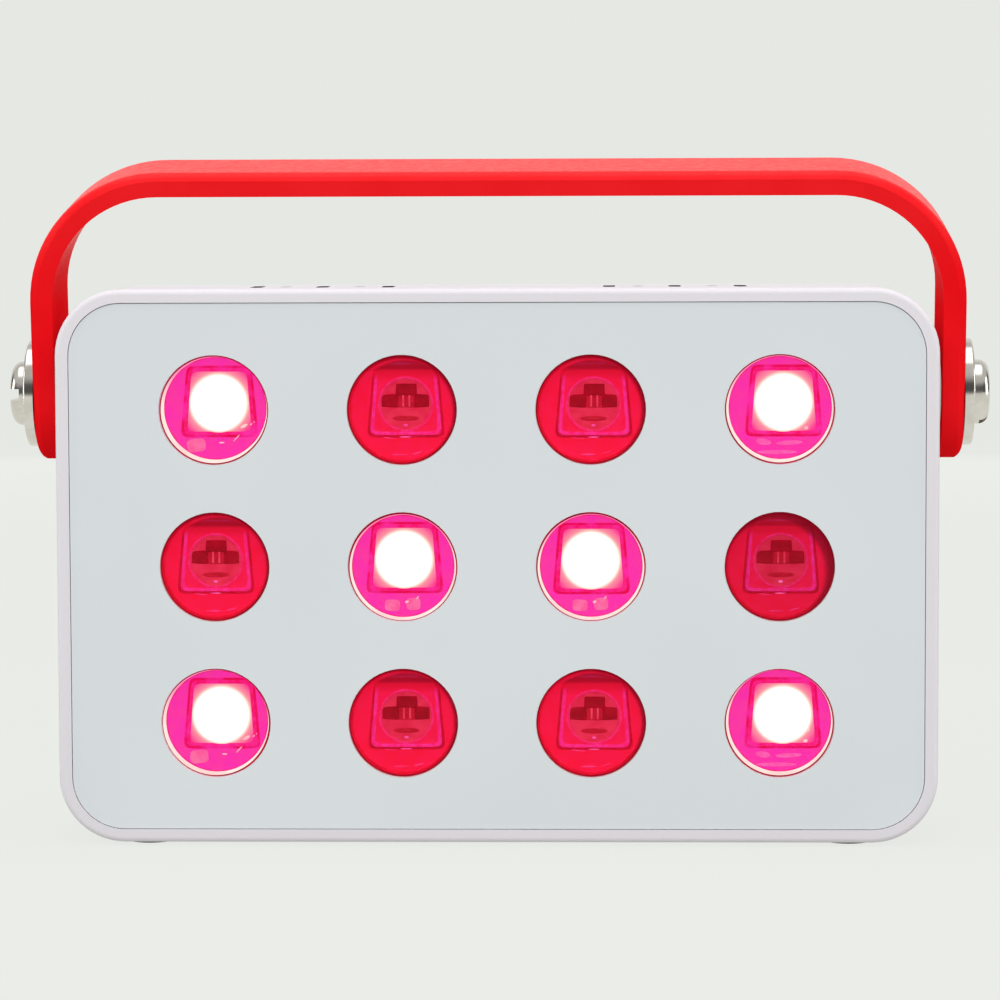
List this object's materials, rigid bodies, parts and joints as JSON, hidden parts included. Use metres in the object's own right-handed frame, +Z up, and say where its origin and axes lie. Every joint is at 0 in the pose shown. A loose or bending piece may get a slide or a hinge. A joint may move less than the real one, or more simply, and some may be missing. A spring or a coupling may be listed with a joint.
{
  "type": "portable light therapy lamp",
  "caption": "Flat portable light panel with round red windows in a white rounded housing and a red U-shaped strap handle that swings on side screws.",
  "frame": {"origin": "centre of the footprint, in the plane that the rubber feet stand on", "axes": "+X to the viewer's right, +Z up, and the lamp shines towards -Y"},
  "size_m": [0.2256, 0.0466, 0.1562],
  "materials": {
    "white_shell": "satin white with a faint lilac cast",
    "face_plate": "fine matt light grey",
    "tape": "black foam adhesive",
    "red_lens_lit": "clear red lens over a lit light",
    "red_lens_dark": "clear red lens over an unlit light",
    "holder_plastic": "moulded white",
    "emitter_ceramic": "smooth",
    "emitter_lit": "glowing emitter",
    "emitter_dark": "dark emitter",
    "board_white": "white solder mask",
    "gap_pad": "soft grey-blue",
    "bare_aluminium": "extruded",
    "plated_screw": "zinc plated",
    "fan_frame_black": "glass-filled black",
    "fan_rotor_black": "black, slightly glossy",
    "board_green": "green solder mask",
    "component_grey": "moulded",
    "capacitor_sleeve": "dark blue sleeve",
    "component_black": "moulded black",
    "socket_black": "moulded black",
    "button_grey": "satin light grey",
    "red_wire": "insulation",
    "black_wire": "insulation",
    "foot_rubber": "soft black",
    "handle_red": "satin red, firm moulded elastomer",
    "nylon": "natural nylon",
    "nickel_steel": "nickel plated, lightly turned",
    "brass_insert": "knurled"
  },
  "bodies": {
    "lamp": {"housing": "white_shell", "front_plate": "face_plate", "plate_tape": "tape", "lenses_red": "red_lens_lit", "lenses_infrared": "red_lens_dark", "lens_holder": "holder_plastic", "led_packages_red": "emitter_ceramic", "led_packages_infrared": "emitter_ceramic", "led_chips_red": "emitter_lit", "led_chips_infrared": "emitter_dark", "led_board": "board_white", "thermal_pad": "gap_pad", "heat_sink": "bare_aluminium", "led_board_screws": "plated_screw", "heat_sink_screws": "plated_screw", "rear_cover": "white_shell", "rear_cover_screws": "plated_screw", "left_fan_frame": "fan_frame_black", "right_fan_frame": "fan_frame_black", "fan_screws": "plated_screw", "control_board": "board_green", "control_board_screws": "plated_screw", "driver_coils": "component_grey", "driver_capacitors": "capacitor_sleeve", "driver_chips": "component_black", "button_switches": "component_black", "power_socket": "socket_black", "led_wires": "red_wire", "fan_wires": "black_wire", "rubber_feet": "foot_rubber", "friction_washers": "nylon", "pivot_washers": "nickel_steel", "pivot_screws": "nickel_steel", "threaded_inserts": "brass_insert"},
    "handle": {"handle": "handle_red"},
    "left_rotor": {"left_fan_rotor": "fan_rotor_black"},
    "right_rotor": {"right_fan_rotor": "fan_rotor_black"},
    "power_button": {"power_button": "button_grey"},
    "timer_button": {"timer_button": "button_grey"}
  },
  "joints": [
    {"name": "handle_swing", "type": "hinge", "parent": "lamp", "child": "handle", "pos_m": [0, 0, 0.1023], "axis": [1, 0, 0], "range_deg": [-125, 107]},
    {"name": "left_rotor_spin", "type": "hinge", "parent": "lamp", "child": "left_rotor", "pos_m": [-0.0406, 0.015, 0.0638], "axis": [0, 1, 0], "continuous": true},
    {"name": "right_rotor_spin", "type": "hinge", "parent": "lamp", "child": "right_rotor", "pos_m": [0.0406, 0.015, 0.0638], "axis": [0, 1, 0], "continuous": true},
    {"name": "power_button_press", "type": "slide", "parent": "lamp", "child": "power_button", "axis": [0, -1, 0], "range_m": [0, 0.0005]},
    {"name": "timer_button_press", "type": "slide", "parent": "lamp", "child": "timer_button", "axis": [0, -1, 0], "range_m": [0, 0.0005]}
  ]
}
